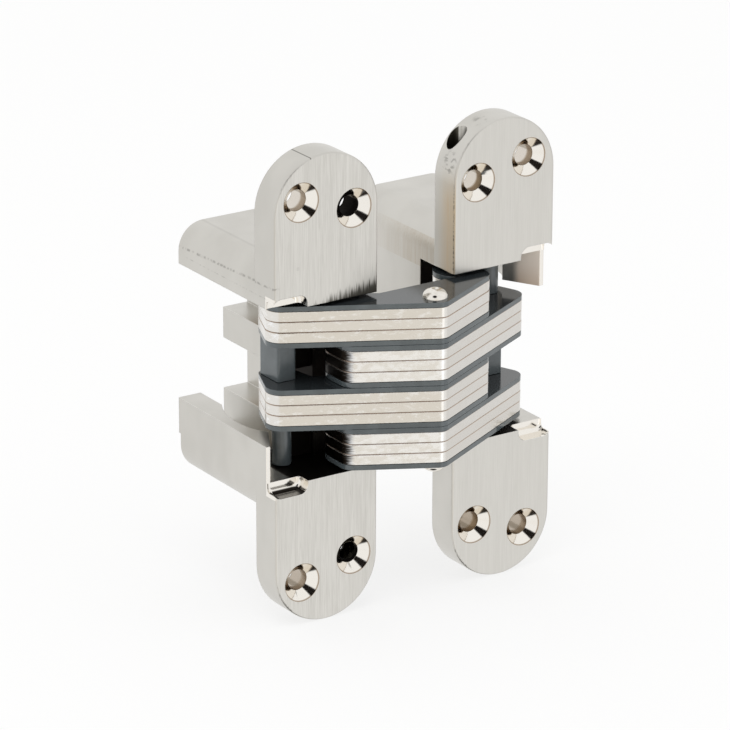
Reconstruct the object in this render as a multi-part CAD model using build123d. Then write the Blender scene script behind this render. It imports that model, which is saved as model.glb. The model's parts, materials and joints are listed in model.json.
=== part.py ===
from build123d import *
import math
import os

# Concealed door hinge, open flat. Two cast bodies are let into the door and its frame, and two sets of
# laminated links join them. Each set turns on a fixed pin in one body, slides in the other, and crosses
# the other set at the centre rivet.
# Sizes are millimetres. X runs across both bodies, Y into their depth and Z up along them.
# "In" is measured from a body's outer edge, "back" from its face and "ahead" out of the face.

# Face plate and cast body
PLATE_LENGTH = 118.0
PLATE_WIDTH = 29.0
PLATE_THICKNESS = 8.5
PLATE_EDGE_ROUND = 0.5
BODY_DEPTH = 44.0
BODY_CORNER_RADIUS = 7.0
BODY_BACK_ROUND = 1.0
END_BLOCK_HEIGHT = 10.0
OPEN_GAP = 22.0
WEB_WIDTH = 9.2
SLIDE_WALL = 6.2
LIP_THICKNESS = 1.1

# Countersunk screw holes, placed from the plate's ends and from its outer or inner edge
SCREW_HOLE_RADIUS = 2.6
SCREW_SINK_RADIUS = 4.9
OUTER_SCREW_IN = 7.6
OUTER_SCREW_FROM_END = 11.0
INNER_SCREW_FROM_EDGE = 6.7
INNER_SCREW_FROM_END = 14.9

# Pivots and their pins. The fixed pivot is placed from the plate's inner edge
CENTRE_AHEAD = 8.1
PIVOT_FROM_EDGE = 4.4
PIVOT_BACK = 5.8
SLIDE_IN = 10.0
SLIDE_BACK = 12.85
CLOSED_GAP = 3.0
RIVET_RADIUS = 2.5
RIVET_HEAD_RADIUS = 3.1
RIVET_HEAD_HEIGHT = 2.2
PIVOT_PIN_RADIUS = 2.4
PIVOT_PIN_SEAT = 7.0
SLIDE_PIN_RADIUS = 1.5

# Scooped notch that takes the rivet head when the hinge is closed
NOTCH_BESIDE_HEAD = 1.1
NOTCH_BEYOND_EDGE = 0.5
NOTCH_BACK = 3.8
NOTCH_DEPTH = 3.1
NOTCH_CORNER_RADIUS = 2.4
NOTCH_SCOOP_RADIUS = 1.2

# Laminated links
PLATES_PER_LINK = 3
LINK_PLATE_THICKNESS = 2.67
LINK_EDGE_BREAK = 0.18
WASHER_THICKNESS = 1.2
LINK_FRONT_ANGLE = 28.0
LINK_NOSE = 4.8
LINK_NOSE_RADIUS = 3.0
LINK_WAIST = 9.4
LINK_WAIST_LEFT = 9.5
EYE_RADIUS = 5.6
EYE_CORNER_RADIUS = 4.0
ARM_WIDTH = 9.5
HEEL_FROM_SLIDE = 7.2
FOOT_LENGTH = 8.2
FOOT_BEHIND = 6.7
FOOT_BEYOND = 3.9
FOOT_LEAN = 1.6
FOOT_FRONT_RADIUS = 4.0
FOOT_BACK_RADIUS = 3.0

# Slider block and sleeve on the slide pin
BLOCK_WIDTH = 5.2
BLOCK_AHEAD = 2.6
BLOCK_BEHIND = 5.7
BLOCK_CORNER_RADIUS = 0.6
SLEEVE_RADIUS = 2.4

# Clearances
RUNNING_CLEARANCE = 0.05
PRESS_CLEARANCE = 0.01
LINK_GAP = 0.1
LEVEL_CLEARANCE = 0.3
RIB_TOP_CLEARANCE = 2.3
SWEEP_CLEARANCE = 0.4
SLIDE_CLEARANCE = 0.3
POCKET_CLEARANCE = 1.0
CUT_MARGIN = 1.0

# Heights of the link stack: link 1 is at the top, and the middle of the stack is at Z = 0
LINK_COUNT = 4
LINK_STACK = PLATES_PER_LINK * LINK_PLATE_THICKNESS + 2 * WASHER_THICKNESS
LINK_PITCH = LINK_STACK + LINK_GAP
STACK_HALF = LINK_COUNT * LINK_PITCH / 2
POCKET_HALF = STACK_HALF + POCKET_CLEARANCE
BODY_HALF = POCKET_HALF + END_BLOCK_HEIGHT

# Places seen from above: the left body's fixed pivot and slide pin, and the right body's fixed pivot
HALF_SPAN = PLATE_WIDTH + OPEN_GAP / 2
CENTRE = Vector(0, -CENTRE_AHEAD)
LEFT_PIVOT = Vector(-OPEN_GAP / 2 - PIVOT_FROM_EDGE, PIVOT_BACK)
RIGHT_PIVOT = Vector(OPEN_GAP / 2 + PIVOT_FROM_EDGE, PIVOT_BACK)
LEFT_SLIDE = Vector(SLIDE_IN - HALF_SPAN, SLIDE_BACK)

# Directions of the link's slide arm: along its front edge, and square to that edge towards the back
FRONT_ANGLE = math.radians(LINK_FRONT_ANGLE)
ALONG = Vector(-math.cos(FRONT_ANGLE), math.sin(FRONT_ANGLE))
BEHIND = Vector(math.sin(FRONT_ANGLE), math.cos(FRONT_ANGLE))
NOSE = CENTRE - Vector(0, LINK_NOSE)

# The link's front edge passes its pivot at this distance, and a hollow of the body clears it as it turns
FRONT_TO_PIVOT = (LEFT_PIVOT - NOSE).dot(BEHIND)
SWEEP_RADIUS = FRONT_TO_PIVOT + SWEEP_CLEARANCE
RIB_FRONT = PIVOT_BACK + SWEEP_RADIUS
WEB_IN = PLATE_WIDTH - WEB_WIDTH
SLOT_HALF = SLEEVE_RADIUS + SLIDE_CLEARANCE
SLEEVE_LOW = LEVEL_CLEARANCE - POCKET_HALF

# The part's origin is the middle of its outline box
NOSE_ROUNDING = LINK_NOSE_RADIUS * (1 / math.cos(FRONT_ANGLE) - 1)
FRONT_REACH = CENTRE_AHEAD + LINK_NOSE - NOSE_ROUNDING
TO_ORIGIN = Pos(0, (FRONT_REACH - BODY_DEPTH) / 2, 0)

# The right body and the second link set are the left and the first, turned half round about Y
HALF_TURN = Rot(0, 180, 0)


def turned_point(point, centre, angle):
    """The point, turned about a centre in the plan."""
    arm = point - centre
    return centre + Vector(arm.X * math.cos(angle) - arm.Y * math.sin(angle),
                           arm.X * math.sin(angle) + arm.Y * math.cos(angle))


def full_pivot_turn():
    """Angle by which the second link set turns about the left pivot while the hinge closes."""
    arm = CENTRE - LEFT_PIVOT
    depth_when_closed = PIVOT_BACK + CLOSED_GAP / 2
    inward_when_closed = math.sqrt(arm.dot(arm) - depth_when_closed ** 2)
    angle_closed = math.atan2(depth_when_closed, inward_when_closed) - math.pi
    return angle_closed - math.atan2(arm.Y, arm.X)


def centre_place(closed_share):
    """Where the rivet is, seen from the left body, when the hinge is closed by a share of its travel."""
    return turned_point(CENTRE, LEFT_PIVOT, closed_share * full_pivot_turn())


def slide_place(closed_share):
    """Where the left slide pin is when the hinge is closed by a share of its travel."""
    slide_turn = closed_share * (-math.pi - full_pivot_turn())
    return centre_place(closed_share) + turned_point(LEFT_SLIDE - CENTRE, Vector(0, 0), slide_turn)


def plan_box(in_from, in_to, back_from, back_to, low, high):
    """A box of the left body, between two distances in, two distances back and two heights."""
    width = in_to - in_from
    depth = back_to - back_from
    box = Box(width, depth, high - low, align=(Align.MIN, Align.MIN, Align.MIN))
    return Pos(in_from - HALF_SPAN, back_from, low) * box


def upright(point, radius, low, high):
    """An upright cylinder at a place in the plan, between two heights."""
    cylinder = Cylinder(radius, high - low, align=(Align.CENTER, Align.CENTER, Align.MIN))
    return Pos(point.X, point.Y, low) * cylinder


def rounded_at(face, point, radius):
    """The face with its corner nearest to a point rounded."""
    corner = min(face.vertices(), key=lambda vertex: (Vector(*vertex.center()) - point).length)
    return fillet(corner, radius)


def face_plate():
    """Face plate with full round ends and a softened front edge."""
    middle = Pos(PLATE_WIDTH / 2 - HALF_SPAN, 0, 0)
    outline = middle * Plane.XZ * SlotOverall(PLATE_LENGTH, PLATE_WIDTH, rotation=90)
    plate = extrude(outline, amount=-PLATE_THICKNESS)
    front = plate.faces().sort_by(Axis.Y)[0]
    return fillet(front.edges(), PLATE_EDGE_ROUND)


def end_blocks():
    """Round-cornered block behind the plate, cut through by the pocket into an upper and a lower block."""
    middle = Pos(PLATE_WIDTH / 2 - HALF_SPAN, 0, 0)
    outline = middle * Plane.XZ * RectangleRounded(PLATE_WIDTH, 2 * BODY_HALF, BODY_CORNER_RADIUS)
    behind_edge = Pos(0, PLATE_THICKNESS / 2, 0) * outline
    block = extrude(behind_edge, amount=PLATE_THICKNESS / 2 - BODY_DEPTH)
    back = block.faces().sort_by(Axis.Y)[-1]
    return fillet(back.edges(), BODY_BACK_ROUND)


def web():
    """Wall between the end blocks, hollowed in front round the sweep of the link's pivot end."""
    block = plan_box(WEB_IN, PLATE_WIDTH, PIVOT_BACK, BODY_DEPTH, -POCKET_HALF, POCKET_HALF)
    return block - upright(LEFT_PIVOT, SWEEP_RADIUS, -POCKET_HALF, POCKET_HALF)


def ribs():
    """Two ribs out from the web, level with the links that pivot here. Their ends guide the slider block."""
    innermost_slide = max(SLIDE_IN, slide_place(1).X + HALF_SPAN)
    rib_in = innermost_slide + BLOCK_WIDTH / 2 + SLIDE_CLEARANCE
    block_level = plan_box(rib_in, PLATE_WIDTH, RIB_FRONT, BODY_DEPTH,
                           LEVEL_CLEARANCE, LINK_PITCH - RIB_TOP_CLEARANCE)
    floor_level = plan_box(rib_in, PLATE_WIDTH, RIB_FRONT, BODY_DEPTH,
                           -POCKET_HALF, -LINK_PITCH - RIB_TOP_CLEARANCE)
    return block_level + floor_level


def slide_wall():
    """Outer wall on the floor. Its inner face slants back from a thin lip to the sleeve's curved track."""
    height = POCKET_HALF - LINK_PITCH - RIB_TOP_CLEARANCE
    plan = make_face(Polyline(
        (-HALF_SPAN, NOTCH_BACK),
        (LIP_THICKNESS - HALF_SPAN, NOTCH_BACK),
        (SLIDE_WALL - HALF_SPAN, SLIDE_BACK),
        (SLIDE_WALL - HALF_SPAN, BODY_DEPTH),
        (-HALF_SPAN, BODY_DEPTH),
        close=True,
    ))
    for start, middle, end in ((0, 0.25, 0.5), (0.5, 0.75, 1)):
        run = ThreePointArc(slide_place(start), slide_place(middle), slide_place(end))
        plan -= SlotArc(run, 2 * SLOT_HALF)
    return extrude(Pos(0, 0, -POCKET_HALF) * plan, amount=height)


def screw_hole():
    """Countersunk hole along Y, with its mouth on the face at the origin."""
    sink_depth = SCREW_SINK_RADIUS - SCREW_HOLE_RADIUS
    profile = make_face(Polyline(
        (0, -CUT_MARGIN),
        (SCREW_SINK_RADIUS + CUT_MARGIN, -CUT_MARGIN),
        (SCREW_HOLE_RADIUS, sink_depth),
        (SCREW_HOLE_RADIUS, PLATE_THICKNESS + CUT_MARGIN),
        (0, PLATE_THICKNESS + CUT_MARGIN),
        close=True,
    ))
    return revolve(profile, Axis.Y)


def rivet_notch():
    """Scoop in the outer front corners of the end blocks, open to the pocket, the face and the side."""
    inner_end = centre_place(1).X + RIVET_HEAD_RADIUS + NOTCH_BESIDE_HEAD
    outer_end = -HALF_SPAN - NOTCH_BEYOND_EDGE
    height = 2 * (POCKET_HALF + NOTCH_DEPTH)
    middle = Pos((inner_end + outer_end) / 2, -CUT_MARGIN, 0)
    outline = Plane.XZ * RectangleRounded(inner_end - outer_end, height, NOTCH_CORNER_RADIUS)
    scoop = extrude(middle * outline, amount=-NOTCH_BACK - CUT_MARGIN)
    back = scoop.faces().sort_by(Axis.Y)[-1]
    return fillet(back.edges(), NOTCH_SCOOP_RADIUS)


def hinge_body():
    """The left body, one casting."""
    body = face_plate() + end_blocks()
    body -= plan_box(-CUT_MARGIN, PLATE_WIDTH + CUT_MARGIN, -CUT_MARGIN, BODY_DEPTH + CUT_MARGIN,
                     -POCKET_HALF, POCKET_HALF)
    body += web() + ribs() + slide_wall()
    body -= rivet_notch()
    outer_screw = (OUTER_SCREW_IN - HALF_SPAN, OUTER_SCREW_FROM_END)
    inner_screw = (-OPEN_GAP / 2 - INNER_SCREW_FROM_EDGE, INNER_SCREW_FROM_END)
    for across, from_end in (outer_screw, inner_screw):
        for side in (-1, 1):
            rise = side * (PLATE_LENGTH / 2 - from_end)
            body -= Pos(across, 0, rise) * screw_hole()
    # The pivot pin is driven in from the rim of the plate's lower end
    bore_top = POCKET_HALF + PIVOT_PIN_SEAT
    body -= upright(LEFT_PIVOT, PIVOT_PIN_RADIUS + PRESS_CLEARANCE, -PLATE_LENGTH / 2 - CUT_MARGIN, bore_top)
    return body


def link_outline():
    """Plan of a link of the first set, from its slide foot on the left to its pivot end on the right."""
    def arm_point(along, behind):
        return NOSE + ALONG * along + BEHIND * behind

    slide_along = (LEFT_SLIDE - NOSE).dot(ALONG)
    slide_behind = (LEFT_SLIDE - NOSE).dot(BEHIND)
    foot_end = slide_along + FOOT_BEYOND
    foot_back = slide_behind + FOOT_BEHIND
    front_corner = arm_point(foot_end, 0)
    back_corner = arm_point(foot_end + FOOT_LEAN, foot_back)
    inner_corner = arm_point(foot_end + FOOT_LEAN - FOOT_LENGTH, foot_back)
    heel = arm_point(slide_along - HEEL_FROM_SLIDE, ARM_WIDTH)
    waist = CENTRE + Vector(-LINK_WAIST_LEFT, LINK_WAIST)
    waist_right = Vector(RIGHT_PIVOT.X, waist.Y)
    eye_side = RIGHT_PIVOT + Vector(EYE_RADIUS, 0)
    eye_corner = Vector(eye_side.X, NOSE.Y + eye_side.X * math.tan(FRONT_ANGLE))
    outline = make_face(Polyline(NOSE, front_corner, back_corner, inner_corner, heel, waist, waist_right,
                                 eye_side, eye_corner, close=True))
    rounds = (
        (NOSE, LINK_NOSE_RADIUS),
        (front_corner, FOOT_FRONT_RADIUS),
        (back_corner, FOOT_BACK_RADIUS),
        (inner_corner, FOOT_BACK_RADIUS),
        (eye_corner, EYE_CORNER_RADIUS),
    )
    for corner, radius in rounds:
        outline = rounded_at(outline, corner, radius)
    outline += Pos(RIGHT_PIVOT.X, RIGHT_PIVOT.Y) * Circle(EYE_RADIUS)
    # The other set's pivot pin lies in a hollow of the slide arm when the hinge is open
    outline -= Pos(LEFT_PIVOT.X, LEFT_PIVOT.Y) * Circle(PIVOT_PIN_RADIUS + SLIDE_CLEARANCE)
    bores = (
        (CENTRE, RIVET_RADIUS),
        (RIGHT_PIVOT, PIVOT_PIN_RADIUS),
        (LEFT_SLIDE, SLIDE_PIN_RADIUS),
    )
    for place, radius in bores:
        outline -= Pos(place.X, place.Y) * Circle(radius + RUNNING_CLEARANCE)
    return outline


def link_plate(outline, low):
    """One stamped steel lamination, with its edges broken."""
    plate = extrude(Pos(0, 0, low) * outline, amount=LINK_PLATE_THICKNESS)
    flat_faces = plate.faces().sort_by(Axis.Z)
    rims = flat_faces[0].outer_wire().edges() + flat_faces[-1].outer_wire().edges()
    return chamfer(rims, LINK_EDGE_BREAK)


def link_pieces(outline, link_number):
    """A link's washer, plates and second washer, from the top down. Link 1 is the top of the stack."""
    top = STACK_HALF - (link_number - 1) * LINK_PITCH - LINK_GAP / 2
    washer = extrude(outline, amount=WASHER_THICKNESS)
    pieces = [Pos(0, 0, top - WASHER_THICKNESS) * washer]
    for index in range(PLATES_PER_LINK):
        low = top - WASHER_THICKNESS - (index + 1) * LINK_PLATE_THICKNESS
        pieces.append(link_plate(outline, low))
    pieces.append(Pos(0, 0, top - LINK_STACK) * washer)
    return pieces


def centre_rivet():
    """Rivet through all four links, with a domed head at each end."""
    seat = STACK_HALF
    cap_radius = (RIVET_HEAD_RADIUS ** 2 + RIVET_HEAD_HEIGHT ** 2) / (2 * RIVET_HEAD_HEIGHT)
    dome = upright(Vector(0, 0), RIVET_HEAD_RADIUS, seat, seat + RIVET_HEAD_HEIGHT)
    dome &= Pos(0, 0, seat + RIVET_HEAD_HEIGHT - cap_radius) * Sphere(cap_radius)
    shank = upright(Vector(0, 0), RIVET_RADIUS, -seat, seat)
    return Pos(CENTRE.X, CENTRE.Y, 0) * (shank + dome + HALF_TURN * dome)


def pivot_pin():
    """Plain pin of the left body, driven into both end blocks."""
    reach = POCKET_HALF + PIVOT_PIN_SEAT
    return upright(LEFT_PIVOT, PIVOT_PIN_RADIUS, -reach, reach)


def slide_pin():
    """Pin through the first set's two links, from the top of link 1 down to the end of its sleeve."""
    return upright(LEFT_SLIDE, SLIDE_PIN_RADIUS, SLEEVE_LOW, STACK_HALF - LINK_GAP / 2)


def slider_block():
    """Square guide block on the slide pin, between the two links of its set."""
    height = LINK_PITCH - LINK_GAP
    outline = RectangleRounded(BLOCK_WIDTH, BLOCK_AHEAD + BLOCK_BEHIND, BLOCK_CORNER_RADIUS)
    block = extrude(Pos(0, (BLOCK_BEHIND - BLOCK_AHEAD) / 2) * outline, amount=height)
    block -= Cylinder(SLIDE_PIN_RADIUS + RUNNING_CLEARANCE, 2 * height + CUT_MARGIN)
    return Pos(LEFT_SLIDE.X, LEFT_SLIDE.Y, LINK_GAP / 2) * block


def slide_sleeve():
    """Round sleeve on the lower end of the slide pin."""
    top = -LINK_PITCH - LINK_GAP / 2
    sleeve = upright(LEFT_SLIDE, SLEEVE_RADIUS, SLEEVE_LOW, top)
    return sleeve - upright(LEFT_SLIDE, SLIDE_PIN_RADIUS + PRESS_CLEARANCE, SLEEVE_LOW, top)


def hinge_parts():
    """Every piece of the hinge, by name."""
    parts = {"centre_rivet": centre_rivet()}
    one_side = {
        "body": hinge_body(),
        "pivot_pin": pivot_pin(),
        "slide_pin": slide_pin(),
        "slider_block": slider_block(),
        "slide_sleeve": slide_sleeve(),
    }
    for name, piece in one_side.items():
        parts[f"left_{name}"] = piece
        parts[f"right_{name}"] = HALF_TURN * piece
    outline = link_outline()
    plate_names = [f"plate_{index + 1}" for index in range(PLATES_PER_LINK)]
    piece_names = ["upper_washer", *plate_names, "lower_washer"]
    for number in (1, 3):
        pieces = link_pieces(outline, number)
        turned_number = LINK_COUNT + 1 - number
        for name, piece in zip(piece_names, pieces):
            parts[f"link_{number}_{name}"] = piece
        for name, piece in zip(reversed(piece_names), pieces):
            parts[f"link_{turned_number}_{name}"] = HALF_TURN * piece
    return parts


os.makedirs("parts", exist_ok=True)
for node, piece in hinge_parts().items():
    export_step(TO_ORIGIN * piece, f"parts/{node}.step")
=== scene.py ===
# %% [markdown]
# # A concealed door hinge, open flat
#
# The hinge is two nickel castings joined by four laminated links. The exact solids come from a packed CAD
# model, so this lesson spends its effort on what a solid lacks: worn edges, brushed and polished metal,
# stamped steel, moulded plastic, and light that shows them.
#
# Everything is in metres, and every piece stays where the CAD model has it.

# %% Open the packed hinge
import json
import math

import bmesh
import bpy
from mathutils import Matrix, Vector


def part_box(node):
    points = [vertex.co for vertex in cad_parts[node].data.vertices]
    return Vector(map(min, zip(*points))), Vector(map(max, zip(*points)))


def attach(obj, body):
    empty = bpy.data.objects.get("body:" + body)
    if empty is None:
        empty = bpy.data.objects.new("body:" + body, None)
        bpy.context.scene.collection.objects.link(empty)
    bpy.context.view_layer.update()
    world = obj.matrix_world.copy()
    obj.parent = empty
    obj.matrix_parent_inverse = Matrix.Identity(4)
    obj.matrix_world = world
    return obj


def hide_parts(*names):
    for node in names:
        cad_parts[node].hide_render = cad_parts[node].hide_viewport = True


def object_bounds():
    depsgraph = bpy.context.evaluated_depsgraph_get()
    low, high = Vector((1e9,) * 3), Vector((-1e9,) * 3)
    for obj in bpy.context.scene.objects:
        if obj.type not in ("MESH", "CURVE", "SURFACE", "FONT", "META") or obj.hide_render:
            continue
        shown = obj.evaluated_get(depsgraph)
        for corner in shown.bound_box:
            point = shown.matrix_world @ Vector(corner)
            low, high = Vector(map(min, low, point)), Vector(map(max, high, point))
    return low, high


MM = 0.001
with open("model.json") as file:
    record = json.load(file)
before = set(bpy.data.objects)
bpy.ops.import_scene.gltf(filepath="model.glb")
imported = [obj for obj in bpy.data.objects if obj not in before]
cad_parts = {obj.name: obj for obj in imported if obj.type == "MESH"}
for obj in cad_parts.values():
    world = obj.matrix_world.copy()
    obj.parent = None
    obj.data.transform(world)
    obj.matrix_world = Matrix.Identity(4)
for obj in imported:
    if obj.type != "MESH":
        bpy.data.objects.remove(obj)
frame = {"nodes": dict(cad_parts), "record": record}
cad_low, cad_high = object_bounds()
face_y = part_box("left_body")[0].y
half_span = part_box("right_body")[1].x
print("hinge box, mm:", [round(side / MM, 2) for side in cad_high - cad_low])

# %% [markdown]
# ## Writing shader sums as sums
#
# A material is a net of small nodes. Drawn by hand it is quick, but in a script each sum takes five lines.
# The class below wraps one socket. Adding, multiplying or comparing two of them adds the Math node, so a mask
# reads like a formula. Every other kind of node comes from its `node` method: settings first, because some of
# them change which sockets there are, and then values or links.


# %% A socket that can be added and multiplied
class Wire:
    """One socket of a node tree: operators add Math nodes, and node() adds any other node."""

    def __init__(self, tree, socket=None):
        self.tree = tree
        self.socket = socket

    def node(self, kind, settings=None, inputs=None, output=0):
        made = self.tree.nodes.new(kind)
        for name, value in (settings or {}).items():
            setattr(made, name, value)
        for name, value in (inputs or {}).items():
            if isinstance(value, Wire):
                self.tree.links.new(value.socket, made.inputs[name])
            else:
                made.inputs[name].default_value = value
        return Wire(self.tree, made.outputs[output])

    def sum_of(self, operation, *values):
        inputs = dict(enumerate(values))
        return self.node("ShaderNodeMath", {"operation": operation}, inputs)

    def __add__(self, other):
        return self.sum_of("ADD", self, other)

    def __radd__(self, other):
        return self.sum_of("ADD", other, self)

    def __sub__(self, other):
        return self.sum_of("SUBTRACT", self, other)

    def __rsub__(self, other):
        return self.sum_of("SUBTRACT", other, self)

    def __mul__(self, other):
        return self.sum_of("MULTIPLY", self, other)

    def __rmul__(self, other):
        return self.sum_of("MULTIPLY", other, self)

    def __truediv__(self, other):
        return self.sum_of("DIVIDE", self, other)

    def __gt__(self, other):
        return self.sum_of("GREATER_THAN", self, other)

    def __lt__(self, other):
        return self.sum_of("LESS_THAN", self, other)

    def __abs__(self):
        return self.sum_of("ABSOLUTE", self)

    def root(self):
        return self.sum_of("SQRT", self)

    def smooth(self, low, high):
        """0 below low, 1 above high, and a soft step between them."""
        inputs = {"Value": self, "From Min": low, "From Max": high}
        return self.node("ShaderNodeMapRange", {"interpolation_type": "SMOOTHSTEP"}, inputs)

    def near(self, level, full, gone):
        """1 up to the distance full from a level, fading to 0 at the distance gone."""
        return 1 - abs(self - level).smooth(full, gone)

    def mix(self, colour_a, colour_b):
        """Colour a where this wire is 0, and colour b where it is 1."""
        settings = {"data_type": "RGBA"}
        return self.node("ShaderNodeMix", settings, {0: self, 6: colour_a, 7: colour_b}, output=2)

    def scaled(self, *size):
        """This vector, with each part divided by a size in metres."""
        factors = [1 / part for part in size]
        return self.node("ShaderNodeVectorMath", {"operation": "MULTIPLY"}, {0: self, 1: factors})

    def away(self, point):
        """Distance of this vector from a point."""
        settings = {"operation": "DISTANCE"}
        return self.node("ShaderNodeVectorMath", settings, {0: self, 1: point}, output=1)

    def noise(self, detail, rough):
        inputs = {"Vector": self, "Scale": 1.0, "Detail": detail, "Roughness": rough}
        return self.node("ShaderNodeTexNoise", None, inputs)

    def parts(self):
        split = self.node("ShaderNodeSeparateXYZ", None, {0: self})
        return [Wire(self.tree, socket) for socket in split.socket.node.outputs]


print("wires ready:", Wire.__doc__)

# %% [markdown]
# Every finish needs four more things: a material with its shader, links to that shader's sockets, a normal
# that rounds sharp edges, and a normal that follows a height.

# %% What every finish needs
BEVEL_SAMPLES = 6


def new_finish(name, constants):
    """A material with one Principled shader, whose constants sit on its own sockets."""
    material = bpy.data.materials.new(name)
    material.use_nodes = True
    shader = material.node_tree.nodes["Principled BSDF"]
    for socket, value in constants.items():
        shader.inputs[socket].default_value = value
    return material, shader, Wire(material.node_tree)


def feed(shader, **wires):
    """Link wires to the shader, by socket name with _ for a space."""
    for name, wire in wires.items():
        wire.tree.links.new(wire.socket, shader.inputs[name.replace("_", " ")])


def rounded_edges(board, radius):
    """A normal with sharp edges eased, and a mask of how far the easing turned it."""
    eased = board.node("ShaderNodeBevel", {"samples": BEVEL_SAMPLES}, {"Radius": radius})
    flat = board.node("ShaderNodeNewGeometry", output="Normal")
    agree = board.node("ShaderNodeVectorMath", {"operation": "DOT_PRODUCT"}, {0: eased, 1: flat}, output=1)
    return eased, 1 - agree


def bumped(height, depth, normal):
    """A normal that follows a height, in metres, on top of another normal."""
    inputs = {"Height": height, "Distance": depth, "Strength": 1.0, "Normal": normal}
    return height.node("ShaderNodeBump", None, inputs)


print("edges are eased with", BEVEL_SAMPLES, "samples")

# %% [markdown]
# ## Satin nickel of the castings
#
# The castings are zinc, nickel plated. Their faces are brushed along the length, the rims are smoother, the
# countersinks and the notches are cut bright, and the pocket round the links is painted black as shade. One
# material does all of this: it works out from the place and the direction of the surface which finish belongs
# there. Object coordinates are used, not the world's, so the finish stays put when the hinge folds.
#
# The first step is the masks. Each is a wire that is 1 where its finish belongs and 0 elsewhere.

# %% Brushed faces, countersinks and notches
FACE_TURN = (0.80, 0.97)
FACE_SKIN = face_y + 0.4 * MM
PLATE_REAR = face_y + 8.3 * MM
NOTCH_TOP = 25.25 * MM
NOTCH_SIDE = half_span - 9.5 * MM
NOTCH_BACK = face_y + 3.95 * MM
SCREWS = ((half_span - 7.6 * MM, 48.0 * MM), (half_span - 22.3 * MM, 44.1 * MM))
SINK_RADIUS = 4.95 * MM
RING_RADIUS = 4.82 * MM
RING_FADE = (0.06 * MM, 0.26 * MM)


def brushed_face(facing, y):
    """The front of the plates, which is brushed along its length."""
    return (0 - facing.parts()[1]).smooth(*FACE_TURN) * (y < FACE_SKIN)


def from_screw(across, up, screw):
    """Square of the distance from the axis of a screw hole."""
    reach = across - screw[0]
    rise = up - screw[1]
    return reach * reach + rise * rise


def cut_bright(across, up, y, face):
    """The countersinks and the rivet's notches, which are cut after plating and polished."""
    notch = (up < NOTCH_TOP) * (across > NOTCH_SIDE) * (y < NOTCH_BACK)
    sinks = sum(from_screw(across, up, screw) < SINK_RADIUS ** 2 for screw in SCREWS)
    return (notch + sinks * (y < PLATE_REAR)).smooth(0.0, 1.0) * (1 - face)


def sink_rings(across, up):
    """A thin brown line round the edge of each countersink."""
    return sum(from_screw(across, up, screw).root().near(RING_RADIUS, *RING_FADE) for screw in SCREWS)


print("screw holes at", [(round(sx / MM, 1), round(sz / MM, 1)) for sx, sz in SCREWS], "mm")

# %% [markdown]
# The bores behind the countersinks, and the one in a rim for the pivot pin, are seen at a slant, so it is
# their walls that show. A wall's colour is painted shade that goes by its depth: tan near the front, and
# paler behind, where light comes in. The inner bores of one plate are painted black as shade, but for the
# upper side.

# %% Screw bores and pin bores
BORE_RADIUS = 2.66 * MM
BORE_FRONT = (face_y + 3.9 * MM, face_y + 5.0 * MM)
BORE_CEILING = (-0.75, -0.25)
DEEP_SHARE = 0.35
LOWER_DEEP_SHARE = 0.40
# How much painted shade each bore takes: tan on either body, and black on the left body's inner bores.
BORE_SHADE_SHARES = (
    {"left": 0.85, "right": 0.90, "painted_black": 0.0},
    {"left": 0.85, "right": 1.0, "painted_black": 1.0},
)
PIN_SIDE = 15.4 * MM
PIN_BACK = face_y + 5.8 * MM
PIN_RADIUS = 2.47 * MM
PIN_SHADE = (1.6 * PIN_RADIUS, 1.75 * PIN_RADIUS)


def screw_bores(x, y, z, across, up, facing, face):
    """Two masks of painted shade: how tan a bore is, and where it is black."""
    tan, black = [], []
    for screw, bore_share in zip(SCREWS, BORE_SHADE_SHARES):
        bore = (from_screw(across, up, screw) < BORE_RADIUS ** 2) * (1 - face)
        tan.append(bore * ((x < 0) * bore_share["left"] + (x > 0) * bore_share["right"]))
        black.append(bore * (x < 0) * bore_share["painted_black"])
    front = 1 - y.smooth(*BORE_FRONT)
    deep = DEEP_SHARE + (z < 0) * LOWER_DEEP_SHARE
    under_ceiling = facing.parts()[2].smooth(*BORE_CEILING)
    return sum(tan) * (deep + front * (1 - deep)), sum(black) * under_ceiling


def pin_bore(x, y, z, across, up):
    """The bore that the pivot pin was driven through, in one rim of each body: black on its shaded side."""
    reach = across - PIN_SIDE
    back = y - PIN_BACK
    inside = ((reach * reach + back * back) < PIN_RADIUS ** 2) * (up > NOTCH_TOP) * (x * z > 0)
    return inside * reach.near(-PIN_RADIUS, *PIN_SHADE)


print("bores:", round(2 * BORE_RADIUS / MM, 2), "mm across")

# %% [markdown]
# The links run in a pocket of the casting. Its shade is painted: black at its front, tan further back, and
# clean at the back. The painted shade stops short on the ends of the ribs, and the slide wall beside the
# pocket has a pale matte skin at its front, painted pale as if lit, and tan as painted shade nearer the
# middle.

# %% Pocket and slide wall
POCKET_HALF = 22.05 * MM
WEB_SIDE = 11.1 * MM
POCKET_EDGE = (half_span - 7.0 * MM, half_span - 6.2 * MM)
RIB_END = half_span - 13.6 * MM
RIB_TURN = 0.6
RIB_SHADE_SHIFT = 15 * MM
TAN_DEPTH = (face_y + 25 * MM, face_y + 38 * MM)
BLACK_DEPTH = (face_y + 21 * MM, face_y + 30 * MM)
WALL_INNER = half_span - 7.2 * MM
WALL_FRONT = face_y + 0.3 * MM
WALL_TURN = 0.5
LIT_WALL_DEPTH = (face_y + 8.3 * MM, face_y + 10.5 * MM)


def painted_pocket_shade(x, y, across, up, facing, open_to_shade):
    """Two masks of painted shade: where the pocket is tan, and where it is black."""
    inside = (up < POCKET_HALF) * (across > WEB_SIDE) * open_to_shade * (1 - across.smooth(*POCKET_EDGE))
    rib_end = (facing.parts()[0] * x - across * RIB_TURN > 0) * (across > RIB_END)
    depth = y + rib_end * RIB_SHADE_SHIFT
    return inside * (1 - depth.smooth(*TAN_DEPTH)), inside * (1 - depth.smooth(*BLACK_DEPTH))


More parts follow.
